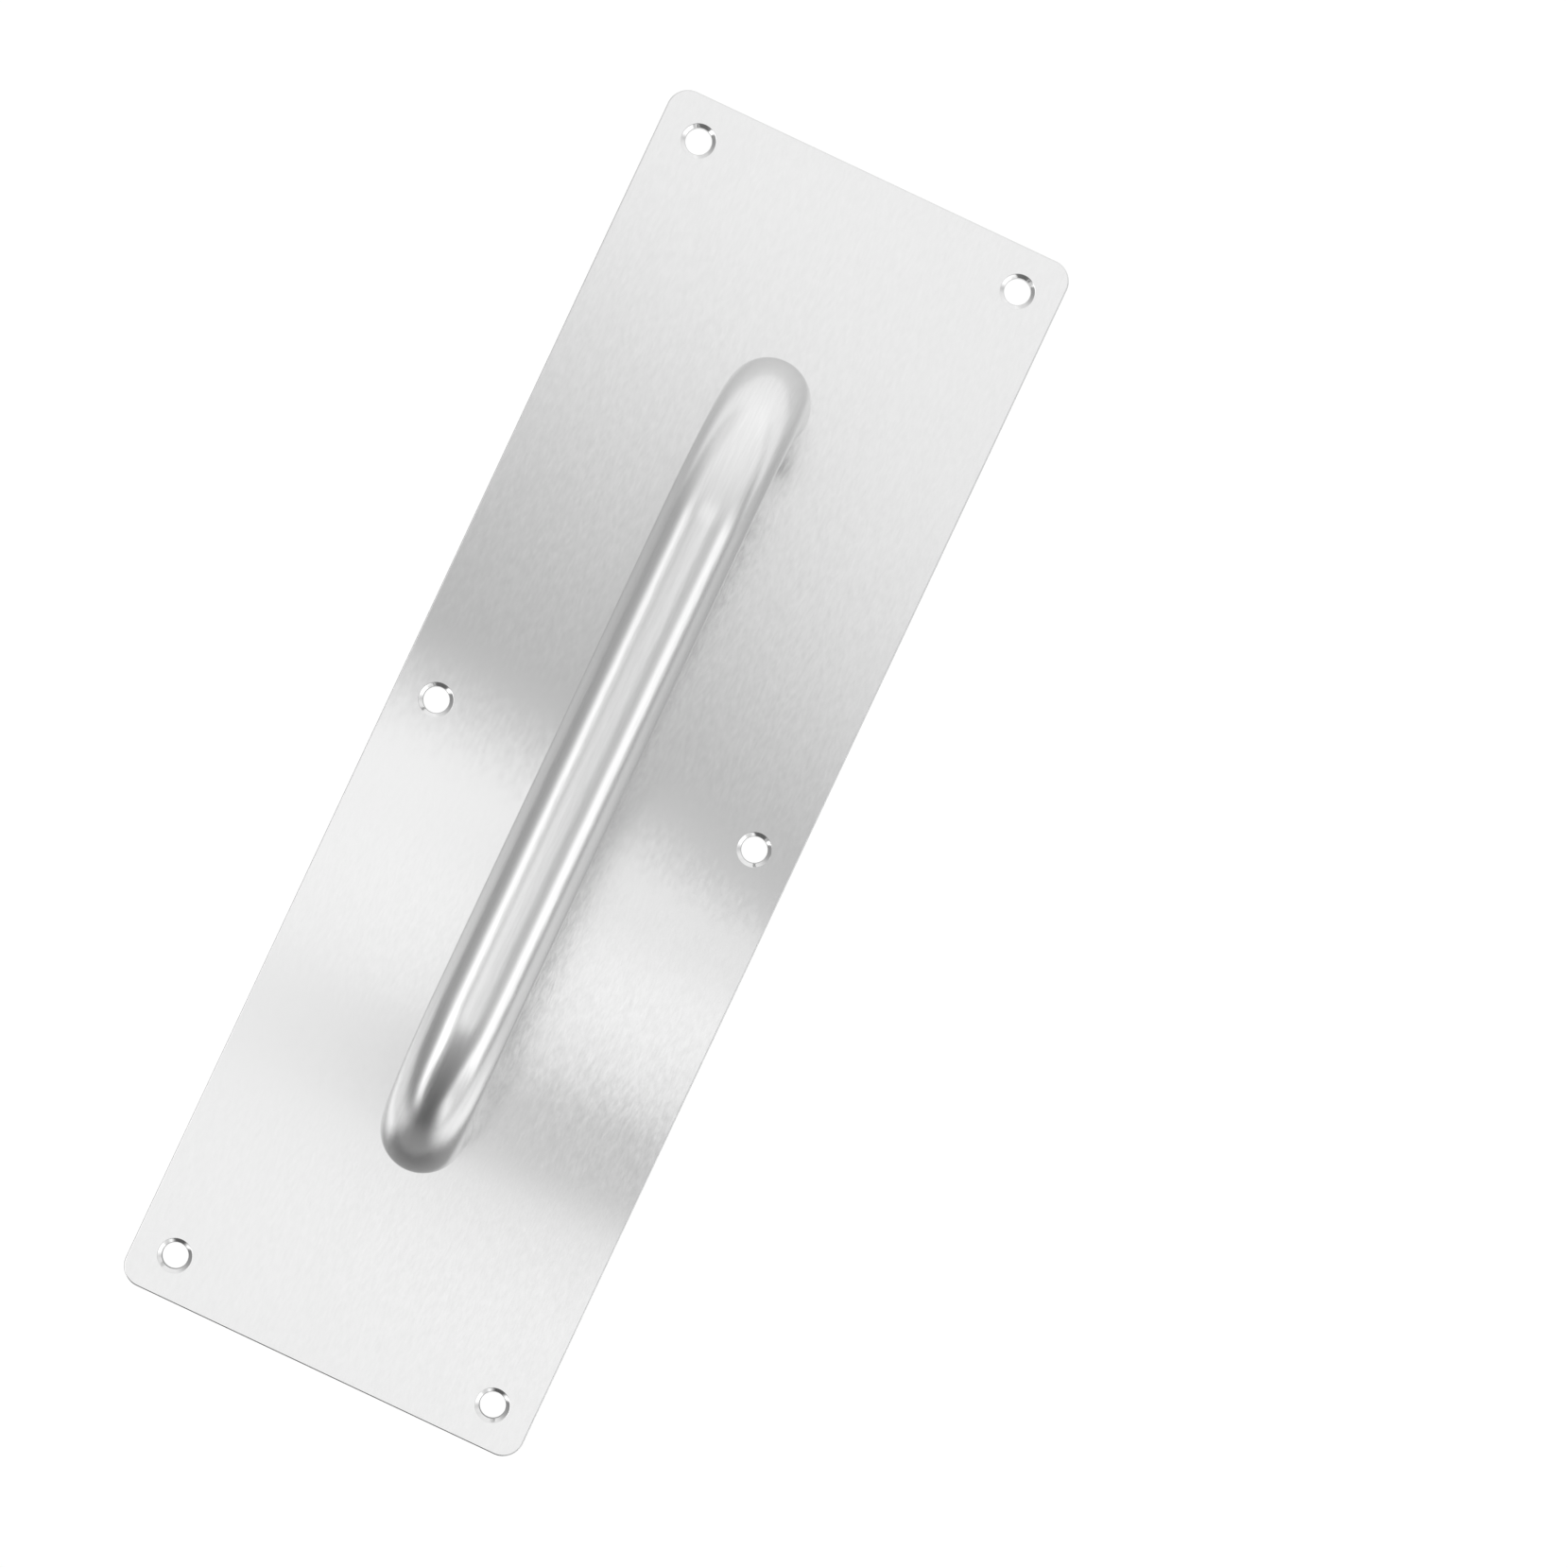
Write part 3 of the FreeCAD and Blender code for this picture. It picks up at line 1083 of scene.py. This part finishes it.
def build_camera():
    """Camera almost straight above the handle, turned so that the plate leans as in the photograph."""
    camera = bpy.data.cameras.new("camera")
    camera.lens = CAMERA_LENS
    camera.clip_end = 50.0
    holder = bpy.data.objects.new("camera", camera)
    bpy.context.scene.collection.objects.link(holder)
    upright = turned_towards(CAMERA_AIM - CAMERA_PLACE, Vector((0, 1, 0)))
    turned = upright @ Matrix.Rotation(CAMERA_ROLL, 3, "Z")
    holder.matrix_world = Matrix.Translation(CAMERA_PLACE) @ turned.to_4x4()
    bpy.context.scene.camera = holder


# The add-on


class PULL_OT_backplate(bpy.types.Operator):
    """Build the brushed plate with its six fixing holes"""

    bl_idname = "pull_handle.build_backplate"
    bl_label = "Build backplate"

    def execute(self, context):
        settings = context.scene.pull_plate
        mesh = plate_mesh(settings, context.scene.pull_screws)
        mesh.materials.append(brushed_plate_material(settings.colour))
        mesh.materials.append(turned_material("countersunk_hole", settings.colour, rough=0.12, depth=0.1))
        piece = new_mesh_object("brushed_backplate", mesh)
        finish_piece(piece, "brushed_plate", "backplate")
        return {"FINISHED"}


class PULL_OT_tube(bpy.types.Operator):
    """Build the bent tube that the hand grips"""

    bl_idname = "pull_handle.build_tube"
    bl_label = "Build bent tube"

    def execute(self, context):
        settings = context.scene.pull_tube
        piece = new_mesh_object("bent_tube_handle", bpy.data.meshes.new("bent_tube_handle"))
        mesh = run_tree(piece, bent_tube_tree(), {
            "Lower Foot": LOWER_FOOT_Y,
            "Upper Foot": UPPER_FOOT_Y,
            "Foot Height": FRONT_Z,
            "Grip Height": GRIP_Z,
            "Bend Radius": settings.bend_radius,
            "Tube Radius": TUBE_RADIUS,
            "Bore Radius": TUBE_RADIUS - settings.wall,
            "Foot Chamfer": settings.foot_chamfer,
            "Sides": TUBE_SIDES,
            "Bend Steps": BEND_STEPS,
            "Material": satin_tube_material(settings.colour),
        })
        shade_by_angle(mesh)
        finish_piece(piece, "satin_tube", "pull_handle")
        return {"FINISHED"}


class PULL_OT_screws(bpy.types.Operator):
    """Build the two socket screws behind the plate"""

    bl_idname = "pull_handle.build_screws"
    bl_label = "Build screws"

    def execute(self, context):
        settings = context.scene.pull_screws
        piece = new_mesh_object("socket_screws", screw_mesh(settings))
        run_tree(piece, screw_row_tree(), {
            "First Place": (0.0, LOWER_FOOT_Y, screws_low.z),
            "Spacing": (0.0, UPPER_FOOT_Y - LOWER_FOOT_Y, 0.0),
            "Count": 2,
            "Material": turned_material("screw_steel", settings.colour, rough=0.3),
        })
        finish_piece(piece, "screw_steel", "handle_screws")
        return {"FINISHED"}


class PULL_OT_plugs(bpy.types.Operator):
    """Finish the two threaded plugs inside the tube's feet"""

    bl_idname = "pull_handle.finish_plugs"
    bl_label = "Finish plugs"

    def execute(self, context):
        material = turned_material("turned_plug", context.scene.pull_screws.colour, rough=0.35)
        for node in ("upper_end_plug", "lower_end_plug"):
            plug = frame["nodes"][node]
            plug.data.materials.clear()
            plug.data.materials.append(material)
        return {"FINISHED"}


class PULL_OT_stage(bpy.types.Operator):
    """Build the white floor, the studio light and the camera"""

    bl_idname = "pull_handle.build_stage"
    bl_label = "Build stage"

    def execute(self, context):
        settings = context.scene.pull_stage
        bm = bmesh.new()
        bmesh.ops.create_grid(bm, x_segments=1, y_segments=1, size=settings.floor_size / 2)
        mesh = mesh_from(bm, "floor")
        mesh.transform(Matrix.Translation((0, 0, -FLOOR_DROP)))
        mesh.materials.append(floor_material())
        new_mesh_object("floor", mesh)
        build_world(settings.world_strength)
        overhead_panel()
        build_camera()
        return {"FINISHED"}


class PULL_PT_panel(bpy.types.Panel):
    """Sidebar panel with a button for each piece"""

    bl_idname = "PULL_PT_panel"
    bl_label = "Pull handle"
    bl_space_type = "VIEW_3D"
    bl_region_type = "UI"
    bl_category = "Pull handle"

    def draw(self, context):
        for operator in OPERATORS:
            self.layout.operator(operator.bl_idname)


SETTINGS = {
    "pull_plate": PlateSettings,
    "pull_tube": HandleSettings,
    "pull_screws": ScrewSettings,
    "pull_stage": StageSettings,
}
OPERATORS = (PULL_OT_backplate, PULL_OT_tube, PULL_OT_screws, PULL_OT_plugs, PULL_OT_stage)
CLASSES = (*SETTINGS.values(), *OPERATORS, PULL_PT_panel)


def register():
    """Register the classes and give the scene their settings."""
    for each in CLASSES:
        bpy.utils.register_class(each)
    for name, settings in SETTINGS.items():
        setattr(bpy.types.Scene, name, PointerProperty(type=settings))


def unregister():
    """Take the settings and the classes away again."""
    for name in SETTINGS:
        delattr(bpy.types.Scene, name)
    for each in reversed(CLASSES):
        bpy.utils.unregister_class(each)


def main():
    """Build the whole scene."""
    register()
    bpy.context.scene.view_settings.view_transform = "Standard"
    bpy.ops.pull_handle.build_backplate()
    bpy.ops.pull_handle.build_tube()
    bpy.ops.pull_handle.build_screws()
    bpy.ops.pull_handle.finish_plugs()
    bpy.ops.pull_handle.build_stage()


if __name__ == "__main__":
    main()
